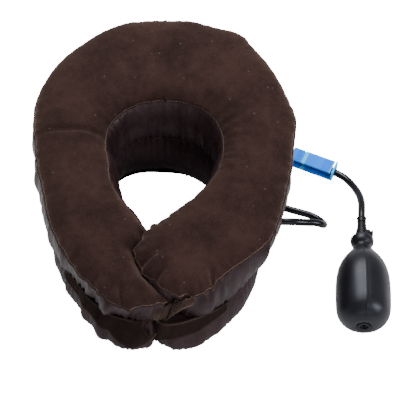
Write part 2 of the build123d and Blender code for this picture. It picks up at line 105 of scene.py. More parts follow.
def coords(nt, scale=1.0, stretch=(1, 1, 1)):
    tc = nt.nodes.new("ShaderNodeTexCoord")
    mp = nt.nodes.new("ShaderNodeMapping")
    mp.inputs["Scale"].default_value = tuple(scale * s for s in stretch)
    nt.links.new(tc.outputs["Object"], mp.inputs["Vector"])
    return mp.outputs["Vector"]


def noise(nt, vec, scale, detail=4.0, rough=0.55, distortion=0.0):
    n = nt.nodes.new("ShaderNodeTexNoise")
    n.inputs["Scale"].default_value = scale
    n.inputs["Detail"].default_value = detail
    n.inputs["Roughness"].default_value = rough
    n.inputs["Distortion"].default_value = distortion
    nt.links.new(vec, n.inputs["Vector"])
    return n.outputs["Fac"]


def ramp(nt, fac, stops):
    r = nt.nodes.new("ShaderNodeValToRGB")
    els = r.color_ramp.elements
    while len(els) < len(stops):
        els.new(0.5)
    for e, (pos, col) in zip(els, stops):
        e.position = pos
        e.color = (*col, 1) if len(col) == 3 else col
    nt.links.new(fac, r.inputs["Fac"])
    return r.outputs["Color"]


def maths(nt, op, a, b=None, clamp=False):
    m = nt.nodes.new("ShaderNodeMath")
    m.operation = op
    m.use_clamp = clamp
    for i, v in enumerate((a, b)):
        if v is None:
            continue
        if isinstance(v, (int, float)):
            m.inputs[i].default_value = v
        else:
            nt.links.new(v, m.inputs[i])
    return m.outputs[0]


def mix_col(nt, fac, a, b, blend="MIX"):
    m = nt.nodes.new("ShaderNodeMix")
    m.data_type = "RGBA"
    m.blend_type = blend
    fi, ai, bi = m.inputs[0], m.inputs[6], m.inputs[7]
    for s, v in ((fi, fac), (ai, a), (bi, b)):
        if isinstance(v, (int, float)):
            s.default_value = v
        elif isinstance(v, tuple):
            s.default_value = (*v, 1) if len(v) == 3 else v
        else:
            nt.links.new(v, s)
    return m.outputs[2]


def bump(nt, bsdf, height, strength, distance, normal=None):
    b = nt.nodes.new("ShaderNodeBump")
    b.inputs["Strength"].default_value = strength
    b.inputs["Distance"].default_value = distance
    nt.links.new(height, b.inputs["Height"])
    if normal is not None:
        nt.links.new(normal, b.inputs["Normal"])
    if bsdf is not None:
        nt.links.new(b.outputs["Normal"], bsdf.inputs["Normal"])
    return b.outputs["Normal"]


def velvet_material(name, dark, light, lint=True, pile=1.0):
    mat, nt, bsdf = new_mat(name)
    v = coords(nt)
    broad = noise(nt, v, 22, 5, 0.6)
    mid = noise(nt, v, 130, 4, 0.6)
    fine = noise(nt, v, 900, 3, 0.7)
    f = maths(nt, "ADD", maths(nt, "MULTIPLY", broad, 0.42), maths(nt, "MULTIPLY", mid, 0.22))
    f = maths(nt, "ADD", f, maths(nt, "MULTIPLY", fine, 0.36))
    col = ramp(nt, f, [(0.41, tuple(0.86 * c for c in dark)), (0.60, tuple(1.12 * c for c in light))])
    if lint:
        vor = nt.nodes.new("ShaderNodeTexVoronoi")
        vor.inputs["Scale"].default_value = 95
        vor.inputs["Randomness"].default_value = 1.0
        nt.links.new(v, vor.inputs["Vector"])
        speck = maths(nt, "LESS_THAN", vor.outputs["Distance"], 0.085)
        rare = maths(nt, "GREATER_THAN", noise(nt, v, 37, 2, 0.5), 0.50)
        col = mix_col(nt, maths(nt, "MULTIPLY", maths(nt, "MULTIPLY", speck, rare), 0.50), col, (0.085, 0.074, 0.066))
        dust = maths(nt, "MULTIPLY", maths(nt, "SUBTRACT", noise(nt, v, 12, 6, 0.7, 0.6), 0.50, True), 3.0, True)
        col = mix_col(nt, maths(nt, "MULTIPLY", dust, 0.30), col, tuple(2.1 * c for c in light))
        fib = noise(nt, coords(nt, 1.0, (1.0, 6.0, 1.0)), 160, 2, 0.5, 1.5)
        thread = maths(nt, "MULTIPLY", maths(nt, "GREATER_THAN", fib, 0.735), rare)
        col = mix_col(nt, maths(nt, "MULTIPLY", thread, 0.30), col, tuple(2.4 * c for c in light))
    nt.links.new(col, bsdf.inputs["Base Color"])
    bsdf.inputs["Roughness"].default_value = 0.95
    bsdf.inputs["Specular IOR Level"].default_value = 0.12
    bsdf.inputs["Sheen Weight"].default_value = 0.55 * pile
    bsdf.inputs["Sheen Roughness"].default_value = 0.38
    bsdf.inputs["Sheen Tint"].default_value = (0.62, 0.42, 0.34, 1)
    h = maths(nt, "ADD", maths(nt, "MULTIPLY", fine, 0.8), maths(nt, "MULTIPLY", mid, 0.5))
    bump(nt, bsdf, h, 0.75, 0.0008)
    return mat


def satin_material(name, dark, light, rough=0.42):
    mat, nt, bsdf = new_mat(name)
    v = coords(nt)
    broad = noise(nt, v, 26, 4, 0.55)
    mid = noise(nt, v, 210, 3, 0.6)
    col = ramp(nt, maths(nt, "ADD", maths(nt, "MULTIPLY", broad, 0.7), maths(nt, "MULTIPLY", mid, 0.3)), [(0.38, dark), (0.64, light)])
    nt.links.new(col, bsdf.inputs["Base Color"])
    w1 = nt.nodes.new("ShaderNodeTexWave")
    w1.bands_direction = "Z"
    w1.inputs["Scale"].default_value = 520
    w1.inputs["Distortion"].default_value = 1.2
    nt.links.new(v, w1.inputs["Vector"])
    w2 = nt.nodes.new("ShaderNodeTexWave")
    w2.bands_direction = "DIAGONAL"
    w2.inputs["Scale"].default_value = 480
    w2.inputs["Distortion"].default_value = 1.0
    nt.links.new(v, w2.inputs["Vector"])
    weave = maths(nt, "ADD", maths(nt, "MULTIPLY", w1.outputs["Fac"], 0.5), maths(nt, "MULTIPLY", w2.outputs["Fac"], 0.5))
    rmap = nt.nodes.new("ShaderNodeMapRange")
    rmap.inputs["To Min"].default_value = rough - 0.06
    rmap.inputs["To Max"].default_value = rough + 0.10
    nt.links.new(broad, rmap.inputs["Value"])
    nt.links.new(rmap.outputs["Result"], bsdf.inputs["Roughness"])
    bsdf.inputs["Specular IOR Level"].default_value = 0.30
    bsdf.inputs["Specular Tint"].default_value = (1.0, 0.74, 0.78, 1)
    bsdf.inputs["IOR"].default_value = 1.38
    bsdf.inputs["Sheen Weight"].default_value = 0.0
    bsdf.inputs["Sheen Roughness"].default_value = 0.3
    bsdf.inputs["Sheen Tint"].default_value = (0.8, 0.74, 0.78, 1)
    n1 = bump(nt, None, noise(nt, coords(nt, 1.0, (1, 1, 0.45)), 55, 4, 0.55, 0.6), 0.55, 0.0022)
    bump(nt, bsdf, weave, 0.18, 0.0003, n1)
    return mat


def rubber_material(name, base, rough, spec=0.5, speckle=0.0, bump_d=0.0003, dust=0.0):
    mat, nt, bsdf = new_mat(name)
    v = coords(nt)
    a = noise(nt, v, 60, 5, 0.6)
    b = noise(nt, v, 700, 3, 0.6)
    col = ramp(nt, a, [(0.35, tuple(c * 0.8 for c in base)), (0.68, tuple(c * 1.35 for c in base))])
    if dust:
        wear = maths(nt, "MULTIPLY", maths(nt, "SUBTRACT", noise(nt, v, 18, 6, 0.65, 0.8), 0.48, True), 2.6, True)
        col = mix_col(nt, maths(nt, "MULTIPLY", wear, dust), col, (0.20, 0.20, 0.22))
    nt.links.new(col, bsdf.inputs["Base Color"])
    rmap = nt.nodes.new("ShaderNodeMapRange")
    rmap.inputs["To Min"].default_value = rough - 0.07
    rmap.inputs["To Max"].default_value = rough + 0.09
    nt.links.new(a, rmap.inputs["Value"])
    nt.links.new(rmap.outputs["Result"], bsdf.inputs["Roughness"])
    bsdf.inputs["Specular IOR Level"].default_value = spec
    bsdf.inputs["Specular Tint"].default_value = (0.86, 0.88, 1.0, 1)
    if bump_d:
        bump(nt, bsdf, maths(nt, "ADD", maths(nt, "MULTIPLY", b, 0.7), maths(nt, "MULTIPLY", a, 0.5)), 0.35, bump_d)
    return mat


def plastic_material(name, base, rough, sss=0.0, bevel=0.0004):
    mat, nt, bsdf = new_mat(name)
    v = coords(nt)
    a = noise(nt, v, 45, 4, 0.5)
    b = noise(nt, v, 800, 2, 0.5)
    col = ramp(nt, a, [(0.3, tuple(c * 0.93 for c in base)), (0.7, tuple(min(1.0, c * 1.06) for c in base))])
    nt.links.new(col, bsdf.inputs["Base Color"])
    rmap = nt.nodes.new("ShaderNodeMapRange")
    rmap.inputs["To Min"].default_value = rough - 0.05
    rmap.inputs["To Max"].default_value = rough + 0.08
    nt.links.new(a, rmap.inputs["Value"])
    nt.links.new(rmap.outputs["Result"], bsdf.inputs["Roughness"])
    bsdf.inputs["Specular IOR Level"].default_value = 0.16
    if sss:
        bsdf.inputs["Subsurface Weight"].default_value = sss
        bsdf.inputs["Subsurface Radius"].default_value = (0.2, 0.6, 1.0)
        bsdf.inputs["Subsurface Scale"].default_value = 0.003
    bev = nt.nodes.new("ShaderNodeBevel")
    bev.inputs["Radius"].default_value = bevel
    bump(nt, bsdf, b, 0.12, 0.0002, bev.outputs["Normal"])
    return mat


def metal_material(name):
    mat, nt, bsdf = new_mat(name)
    v = coords(nt)
    a = noise(nt, v, 300, 3, 0.6)
    col = ramp(nt, a, [(0.3, (0.45, 0.45, 0.47)), (0.7, (0.66, 0.66, 0.68))])
    nt.links.new(col, bsdf.inputs["Base Color"])
    bsdf.inputs["Metallic"].default_value = 1.0
    bsdf.inputs["Roughness"].default_value = 0.3
    return mat


VELVET = velvet_material("velvet_pile", (0.0155, 0.0068, 0.0056), (0.030, 0.0142, 0.0118))
VELVET_BAND = velvet_material("velvet_loop", (0.0085, 0.0042, 0.0038), (0.0165, 0.0088, 0.0078), lint=False, pile=0.45)
# Lighter copy of the velvet, its colour painted sheen, for the scrunched closure fold and the tab's rolled edge.
VELVET_SHEEN_LIT = velvet_material("velvet_painted_sheen", (0.026, 0.015, 0.0125), (0.050, 0.030, 0.025), lint=False, pile=0.8)
SATIN = satin_material("satin_nylon", (0.0150, 0.0078, 0.0090), (0.0300, 0.0170, 0.0195), 0.33)
# Darker copy of the satin, its colour painted shade, for the neck opening's inner walls, the ledges between the tiers
# and the lobe's underside.
SATIN_SHADED = satin_material("satin_nylon_painted_shade", (0.0105, 0.0055, 0.0052), (0.0200, 0.0108, 0.0102), 0.42)
VELVET_EDGE = velvet_material("velvet_edge", (0.016, 0.0080, 0.0068), (0.034, 0.018, 0.0155), lint=False, pile=0.5)
THREAD = velvet_material("sewing_thread", (0.020, 0.0115, 0.0100), (0.045, 0.028, 0.025), lint=False, pile=0.3)
HOSE = rubber_material("hose_rubber_gloss", (0.0036, 0.0036, 0.0046), 0.19, 0.30, bump_d=0.0)
BULB = rubber_material("bulb_rubber_satin", (0.0045, 0.0045, 0.0066), 0.36, 0.30, bump_d=0.0002, dust=0.035)
BLACK = plastic_material("black_moulding", (0.0055, 0.0055, 0.007), 0.34)
BLUE = plastic_material("blue_moulding", (0.0, 0.205, 0.92), 0.6, sss=0.0, bevel=0.0006)


def clamp_painted_glow(mat):
    """Paler colour painted across the clamp's bend and at the hose end: painted light showing through the thin plastic
    there.
    """
    nt = mat.node_tree
    bsdf = next(n for n in nt.nodes if n.type == "BSDF_PRINCIPLED")
    src = bsdf.inputs["Base Color"].links[0].from_socket
    tc = nt.nodes.new("ShaderNodeTexCoord")
    sub = nt.nodes.new("ShaderNodeVectorMath")
    sub.operation = "SUBTRACT"
    sub.inputs[1].default_value = (0.147564, 0.0790984, 0.0)
    nt.links.new(tc.outputs["Object"], sub.inputs[0])
    dot = nt.nodes.new("ShaderNodeVectorMath")
    dot.operation = "DOT_PRODUCT"
    dot.inputs[1].default_value = (0.90483, -0.42578, 0.0)
    nt.links.new(sub.outputs["Vector"], dot.inputs[0])
    t = dot.outputs["Value"]
    off = maths(nt, "ABSOLUTE", maths(nt, "SUBTRACT", t, 0.0012))
    band = nt.nodes.new("ShaderNodeMapRange")
    band.inputs["From Min"].default_value = 0.0019
    band.inputs["From Max"].default_value = 0.0029
    band.inputs["To Min"].default_value = 0.85
    band.inputs["To Max"].default_value = 0.0
    nt.links.new(off, band.inputs["Value"])
    end = nt.nodes.new("ShaderNodeMapRange")
    end.inputs["From Min"].default_value = 0.0312
    end.inputs["From Max"].default_value = 0.0325
    end.inputs["To Min"].default_value = 0.0
    end.inputs["To Max"].default_value = 0.65
    nt.links.new(t, end.inputs["Value"])
    both = maths(nt, "MAXIMUM", band.outputs["Result"], end.outputs["Result"])
    # Mix in the pale cyan, painted light through the thin plastic.
    nt.links.new(mix_col(nt, both, src, (0.10, 0.60, 0.98)), bsdf.inputs["Base Color"])


clamp_painted_glow(BLUE)
STEEL = metal_material("spring_wire")
FILM = rubber_material("air_film", (0.20, 0.17, 0.16), 0.35, 0.5, bump_d=0.0002)

# The CAD satin slot also takes the darker satin copy with painted shade.
slot_mats = {"velvet": VELVET, "satin": SATIN_SHADED, "binding": THREAD, "base_cloth": VELVET_BAND, "film": FILM, "hook_tape": VELVET_BAND,
             "hose_rubber": HOSE, "bulb_rubber": BULB, "black_plastic": BLACK, "clamp_blue": BLUE, "spring_steel": STEEL}
slots = {s["node"]: s["material_slot"] for s in frame["record"]["subparts"]}
for node, obj in frame["nodes"].items():
    key = slots.get(node)
    if key in slot_mats:
        obj.data.materials.clear()
        obj.data.materials.append(slot_mats[key])


# ------------------------------------------------------------------ mesh helpers
def make_object(name, verts, faces, mat, smooth=True):
    me = bpy.data.meshes.new(name)
    me.from_pydata([tuple(v) for v in verts], [], [tuple(int(i) for i in f) for f in faces])
    me.validate()
    me.update()
    ob = bpy.data.objects.new(name, me)
    scene.collection.objects.link(ob)
    me.materials.append(mat)
    if smooth:
        me.polygons.foreach_set("use_smooth", [True] * len(me.polygons))
    return ob


def fix_normals(ob):
    bm = bmesh.new()
    bm.from_mesh(ob.data)
    bmesh.ops.recalc_face_normals(bm, faces=bm.faces)
    bm.to_mesh(ob.data)
    bm.free()
    ob.data.update()


def catmull(points, closed, per=24):
    p = np.asarray(points, float)
    n = len(p)
    out, us = [], []
    segs = n if closed else n - 1
    for i in range(segs):
        if closed:
            p0, p1, p2, p3 = p[(i - 1) % n], p[i], p[(i + 1) % n], p[(i + 2) % n]
        else:
            p0, p1, p2, p3 = p[max(0, i - 1)], p[i], p[i + 1], p[min(n - 1, i + 2)]
        for k in range(per):
            t = k / per
            out.append(0.5 * (2 * p1 + (p2 - p0) * t + (2 * p0 - 5 * p1 + 4 * p2 - p3) * t * t + (3 * p1 - p0 - 3 * p2 + p3) * t ** 3))
            us.append(i + t)
    if not closed:
        out.append(p[-1])
        us.append(n - 1.0)
    return np.array(out), np.array(us)


def resample(line, us, step, closed):
    pts = np.vstack([line, line[:1]]) if closed else line
    uu = np.append(us, us[-1] + (us[1] - us[0])) if closed else us
    seg = np.linalg.norm(np.diff(pts[:, :2], axis=0), axis=1)
    s = np.concatenate([[0], np.cumsum(seg)])
    n = max(8, int(round(s[-1] / step)))
    t = np.linspace(0, s[-1], n + 1)
    if closed:
        t = t[:-1]
    return np.interp(t, s, uu), t, s[-1]


def at(points, closed, us):
    """Catmull-Rom value of a list of control points at continuous indices."""
    p = np.asarray(points, float)
    n = len(p)
    i = np.floor(us).astype(int)
    t = (us - i)[:, None]
    if closed:
        g = lambda k: p[(i + k) % n]
    else:
        g = lambda k: p[np.clip(i + k, 0, n - 1)]
    p0, p1, p2, p3 = g(-1), g(0), g(1), g(2)
    return 0.5 * (2 * p1 + (p2 - p0) * t + (2 * p0 - 5 * p1 + 4 * p2 - p3) * t * t + (3 * p1 - p0 - 3 * p2 + p3) * t ** 3)


def wave_noise(s, length, seed, lo, hi, count=14):
    """Smooth random function of the arc length s, periodic over length, wavelengths lo..hi mm."""
    rng = np.random.RandomState(seed)
    out = np.zeros_like(s)
    for _ in range(count):
        k = max(1, int(round(length / rng.uniform(lo, hi))))
        out += rng.uniform(0.5, 1.0) * np.sin(2 * math.pi * k * s / length + rng.uniform(0, 2 * math.pi))
    return out / math.sqrt(count * 0.3)


def sstep(a, b, x):
    t = np.clip((x - a) / (b - a), 0, 1)
    return t * t * (3 - 2 * t)


def grid_faces(rows, cols, closed_rows):
    f = []
    for i in range(rows if closed_rows else rows - 1):
        a, b = i * cols, ((i + 1) % rows) * cols
        for j in range(cols - 1):
            f.append((a + j, b + j, b + j + 1, a + j + 1))
    return f


# ------------------------------------------------------------------ outlines (mm, plan)
RT = [(0, 184), (27, 183), (51, 176), (75.5, 168), (89, 154), (102, 136.5), (113, 117), (123, 95), (130, 72), (128, 49), (125, 24),
      (120, -1), (114, -25), (107, -46), (101, -58), (82, -74), (66, -86), (53, -97), (44, -106), (33, -112), (17, -114), (4, -111),
      (-6, -103), (-17, -94), (-23, -82), (-27, -70), (-21, -61), (-19, -53), (-11, -46)]
RL = [(0, 174), (26, 172), (49, 165), (70, 153), (83, 138), (92, 118), (99, 98), (105, 76), (107, 54), (107, 34), (106, 14),
      (104, -11), (100, -28), (94, -48), (89.5, -65), (81, -86), (66, -105.5), (51, -119.5), (36, -130), (21, -136), (6, -134), (-5, -130),
      (-7.7, -121), (-8, -100), (-8.5, -88), (-9.2, -76), (-10, -66), (-11, -58), (-12, -51)]
RTI = [(-1, -39), (12, -28), (34, -10), (48, 7), (56, 26), (58, 44), (55, 59), (48, 72), (36, 83), (16, 90), (0, 91)]
RLI = [(-2, -40), (11, -29), (30, -12), (44, 3), (52, 20), (51, 37), (46, 50), (38.5, 60), (28, 68.5), (13, 76.5), (0, 81)]
LT = [(0, 184), (-22, 183.5), (-46, 180), (-76, 164), (-105, 139), (-122, 113), (-130, 87), (-130, 61), (-125, 24), (-117, -8),
      (-110, -36), (-102, -56), (-91, -74), (-78, -92), (-66, -103), (-58, -112), (-49, -117.5), (-37, -124), (-26, -124.5), (-12, -121),
      (4, -113.5), (14, -103), (17, -88), (13, -70), (2, -57), (-10, -49)]
LL = [(0, 174), (-20, 172), (-44, 166), (-72, 153), (-98, 132), (-114, 109), (-124, 84), (-126, 57), (-124, 27), (-117.5, -2),
      (-111, -37), (-103, -61), (-95, -76), (-86, -90), (-78, -103), (-69.5, -114), (-61, -124), (-52, -128), (-41, -134), (-30, -136),
      (-16, -135), (-9.6, -127), (-9.3, -104), (-9.8, -84), (-11.3, -66), (-13, -52)]
LTI = [(-12, -48), (-26.5, -35), (-41, -16), (-53, 6), (-55, 24), (-58, 39), (-57, 56), (-53, 66), (-42, 79), (-26, 88), (-7, 91)]
LLI = [(-13.5, -50), (-22, -36), (-33, -19), (-45, 2), (-52, 18), (-56, 35), (-57, 50), (-54, 62), (-43, 73), (-26, 80), (-8, 81)]

NR, NRI, NL, NLI = len(RT), len(RTI), len(LT), len(LTI)
# one closed line: right outer, right lobe, right neck side, left neck side, left end, left outer
loop_T = RT + RTI + LTI[::-1] + LT[:0:-1]
loop_L = RL + RLI + LLI[::-1] + LL[:0:-1]
N = len(loop_T)
I_RI0 = NR
I_LI0 = NR + NRI
I_LO0 = NR + NRI + NLI


def plane_top(x, y):
    return 95.0 + 0.20 * y


def plane_mid(x, y):
    return 44.0 + 0.15 * y


lobe_poly = np.array(RT[14:] + RTI[:3])


def signed_in(points, poly):
    """Distance to a closed polygon, positive inside."""
    a = poly
    b = np.roll(poly, -1, axis=0)
    d = b - a
    best = np.full(len(points), 1e9)
    inside = np.zeros(len(points), bool)
    for k in range(len(a)):
        ap = points - a[k]
        t = np.clip((ap @ d[k]) / max(1e-9, d[k] @ d[k]), 0, 1)
        best = np.minimum(best, np.linalg.norm(ap - t[:, None] * d[k], axis=1))
        cond = (a[k][1] > points[:, 1]) != (b[k][1] > points[:, 1])
        with np.errstate(divide="ignore", invalid="ignore"):
            xi = (b[k][0] - a[k][0]) * (points[:, 1] - a[k][1]) / (b[k][1] - a[k][1]) + a[k][0]
        inside ^= cond & (points[:, 0] < xi)
    return np.where(inside, best, -best)


def top_z(xy, left):
    """Height of the velvet's edge plane."""
    xy = np.asarray(xy, float)
    z = plane_top(xy[:, 0], xy[:, 1])
    if left:
        q = signed_in(xy, lobe_poly)
        z = z - 27.0 * sstep(-13.0, 15.0, q) - 2.0 * sstep(-40, -10, q)
    else:
        z = z + 5.0 * sstep(45, -5, xy[:, 0]) * sstep(-25, -70, xy[:, 1])
    return z


is_left = np.array([k >= I_LI0 for k in range(N)])
T2 = np.array(loop_T, float)
L2 = np.array(loop_L, float)
Tz = np.where(is_left, top_z(T2, True), top_z(T2, False))
T3 = np.column_stack([T2, Tz])
# share of the way from the velvet's edge to the lower tier's line at which the middle seam runs
w = np.full(N, 0.45)
for k in range(N):
    if k < NR:
        w[k] = np.interp(k, [0, 3, 12, 15, 17, 18.5, 20], [0.35, 0.5, 0.5, 0.35, 0.2, 0.1, 0.0])
    elif k < I_LI0:
        w[k] = 0.30
    elif k < I_LO0:
        w[k] = 0.30
    else:
        j = NL - 1 - (k - I_LO0)
        w[k] = np.interp(j, [0, 4, 10, 13, 16, 19, 22], [0.35, 0.5, 0.5, 0.4, 0.25, 0.12, 0.0])
M2 = T2 * (1 - w[:, None]) + L2 * w[:, None]
Mz = plane_mid(M2[:, 0], M2[:, 1])
MU = np.column_stack([M2, Mz])
ML = MU.copy()
lap_right = [k for k in range(19, NR)] + [I_RI0, I_RI0 + 1]
for k in range(N):
    if k in lap_right:
        f = np.interp(k, [19, 22, I_RI0 - 1, I_RI0 + 1], [0.25, 1, 1, 0.3])
        c = np.array([12.0, -84.0])
        d = T2[k] - c
        MU[k, :2] = T2[k] - d / np.linalg.norm(d) * 5.0 * f
        MU[k, 2] = Mz[k] * (1 - f) + (62.0 + 0.15 * T2[k, 1]) * f
    if 19 <= k < NR:
        f = np.interp(k, [19, 21, 24], [0.35, 0.7, 1.0])
        inner = L2[k] + np.array([3.0, 6.0]) * np.interp(k, [19, 23, 28], [1, 0.2, 0])
        ML[k, :2] = ML[k, :2] * (1 - f) + inner * f
        ML[k, 2] = plane_mid(*ML[k, :2]) - 1.0
    if k >= I_LO0:
        j = NL - 1 - (k - I_LO0)
        if j >= 20:
            f = np.interp(j, [20, 22, 23], [0.4, 1, 1])
            ML[k, :2] = ML[k, :2] * (1 - f) + (L2[k] + np.array([-2.0, 4.0]) * np.interp(j, [20, 23, 25], [1, 0.2, 0])) * f
            ML[k, 2] = plane_mid(*ML[k, :2]) - 1.0

left_seam = {11: (-97, -58, 39), 12: (-90, -69, 41), 13: (-81, -83, 41), 14: (-72, -95, 40.5), 15: (-62.5, -104.5, 40), 16: (-52, -112.5, 40),
             17: (-42, -117, 40), 18: (-32, -120.5, 40), 19: (-20, -122.5, 39)}
right_seam = {11: (110, -6, 43), 12: (105.5, -27, 41), 13: (99, -45.5, 39.5), 14: (91, -61, 38), 15: (79, -78.5, 38), 16: (66, -94.5, 36.5), 17: (52, -105.5, 36), 18: (36, -114, 35)}
for j, p in left_seam.items():
    MU[I_LO0 + NL - 1 - j] = ML[I_LO0 + NL - 1 - j] = p
for k, p in right_seam.items():
    MU[k] = ML[k] = p
for j, p in {20: (-5, -118.5, 39), 21: (6, -107, 40), 22: (10, -90, 42)}.items():
    MU[I_LO0 + NL - 1 - j] = p
for j, p in {20: (-14, -124.5, 38), 21: (-10.6, -116, 37)}.items():
    ML[I_LO0 + NL - 1 - j] = p
for k, p in {19: (23, -114.5, 38), 20: (13, -109.5, 43)}.items():
    MU[k] = p
for k, p in {19: (20, -120.5, 34.5), 20: (7, -123, 35), 21: (-2, -121.5, 36), 22: (-6.2, -112, 36)}.items():
    ML[k] = p

# ------------------------------------------------------------------ fine line along the loop
line, us = catmull(T2, True)
U, S, LEN = resample(line, us, 2.0, True)
R = len(U)
Tp, MUp, MLp, Lp = at(T3, True, U), at(MU, True, U), at(ML, True, U), at(np.column_stack([L2, np.zeros(N)]), True, U)


def loop_normals(p):
    d = np.roll(p, -3, axis=0) - np.roll(p, 3, axis=0)
    d /= np.linalg.norm(d, axis=1)[:, None] + 1e-9
    n = np.column_stack([-d[:, 1], d[:, 0]])
    for _ in range(3):
        n = (np.roll(n, 1, axis=0) + 2 * n + np.roll(n, -1, axis=0)) / 4
    return n / (np.linalg.norm(n, axis=1)[:, None] + 1e-9)


nT, nL = loop_normals(Tp[:, :2]), loop_normals(Lp[:, :2])


def bump_at(us_, lo, hi, soft):
    return sstep(lo - soft, lo + soft, us_) * (1 - sstep(hi - soft, hi + soft, us_))


front_R = bump_at(U, 16, NR + 1, 1.5)                       # right lobe
front_L = bump_at(U, N - 17, N - 3, 2) * 0 + bump_at(U, I_LO0, I_LO0 + 13, 1.5)   # left end
neck = bump_at(U, NR + 0.5, I_LO0 - 0.5, 1.0)
scallop = wave_noise(S, LEN, 5, 8, 20) * (0.20 + 0.42 * front_R + 0.36 * front_L) + 0.45 * wave_noise(S, LEN, 6, 30, 70) * (0.5 + 0.5 * front_R)
Tp[:, :2] += nT * scallop[:, None]
Tp[:, 2] += -2.2 + 0.45 * wave_noise(S, LEN, 8, 12, 40) * (0.4 + front_R + front_L)


# ------------------------------------------------------------------ velvet top, one arm at a time
def arm_outline(left):
    if left:
        sel = (U >= I_LI0 - 1.0) & (U < N)
        pts = Tp[sel]
        return np.vstack([pts]), np.where(sel)[0]
    sel = U <= I_LI0 - 1.0
    return Tp[sel], np.where(sel)[0]


def nearest(points, line_pts):
    best = np.full(len(points), 1e9)
    idx = np.zeros(len(points), int)
    for a in range(0, len(points), 4000):
        d = np.linalg.norm(points[a:a + 4000, None, :] - line_pts[None, :, :], axis=2)
        idx[a:a + 4000] = d.argmin(axis=1)
        best[a:a + 4000] = d.min(axis=1)
    return best, idx


PUCKERS = [  # edge point, inward direction, length, depth, half width
    ((-21, -88), (0.75, 0.55), 30, 4.4, 3.4), ((-6, -102), (0.55, 0.8), 22, 3.6, 3.0), ((47, -103), (-0.15, 0.98), 20, 5.2, 2.2),
    ((34, -111), (0.05, 1.0), 11, 1.8, 2.6), ((-20, -57), (0.9, -0.2), 15, 1.8, 3.0), ((-26, -72), (1.0, 0.1), 14, 1.6, 2.6),
    ((-37, -124), (-0.12, 1.0), 24, 5.0, 2.8), ((-50, -117), (0.3, 0.95), 17, 3.0, 2.8), ((-66, -103), (0.7, 0.7), 14, 1.6, 3.0),
    ((8, -112), (0.1, 1.0), 12, 1.6, 3.0), ((12, -28), (0.5, -0.85), 13, 1.6, 2.6), ((0, -38), (0.6, -0.8), 12, 1.5, 2.4),
    ((24, -18), (0.6, -0.8), 12, 1.2, 2.6), ((66, -86), (-0.6, 0.8), 11, 1.2, 2.6)]


def velvet_height(xy, left, d, idx, outline_idx):
    """Rise of the velvet over its edge plane at each point, with creases."""
    dome = 12.0 * np.sqrt(np.clip(1 - (1 - np.clip(d, 0, 27) / 27) ** 2, 0, 1))
    z = top_z(xy, left) + dome - 2.2
    x, y = xy[:, 0], xy[:, 1]
    z += 0.9 * np.sin(x * 0.061 + y * 0.043 + 1.0) * np.sin(y * 0.052 - x * 0.031) * np.clip(d / 20, 0, 1)
    z += 0.35 * np.sin(x * 0.17 + 0.6 * np.sin(y * 0.09)) * np.sin(y * 0.19 + 1.3) * np.clip(d / 20, 0, 1)
    s = S[outline_idx][idx]
    fr = (front_R + front_L)[outline_idx][idx]
    nk = neck[outline_idx][idx]
    z -= (0.35 + 1.0 * fr) * np.exp(-d / 9.0) * np.maximum(0, wave_noise(s, LEN, 21, 8, 16)) * (1 - np.exp(-d / 1.5))
    # flex wrinkles that run out from the neck opening's right side
    wr = nk * sstep(-5, 25, y) * (1 - sstep(85, 100, y)) * (1 if not left else 0.25)
    z -= 2.0 * wr * np.exp(-((d - 9) / 14.0) ** 2) * np.abs(np.sin(s * 0.42 + 1.5 * np.sin(s * 0.07)))
    if left:  # one long shallow crease
        t = (x + 128) / 72.0
        yc = 50 + 4 * np.sin(t * 3.0) - 3 * t
        z -= 2.8 * np.exp(-((y - yc) / 2.4) ** 2) * sstep(-132, -110, x) * (1 - sstep(-66, -56, x))
    for (ex, ey), (dx, dy), ln, dep, hw in PUCKERS:
        n = math.hypot(dx, dy)
        dx, dy = dx / n, dy / n
        a = (x - ex) * dx + (y - ey) * dy
        b = -(x - ex) * dy + (y - ey) * dx
        if left == (ex < -30):
            z -= dep * np.exp(-(b / (hw * (0.6 + 0.02 * np.abs(a)))) ** 2) * sstep(-4, 2, a) * (1 - sstep(ln * 0.45, ln, a))
    return z


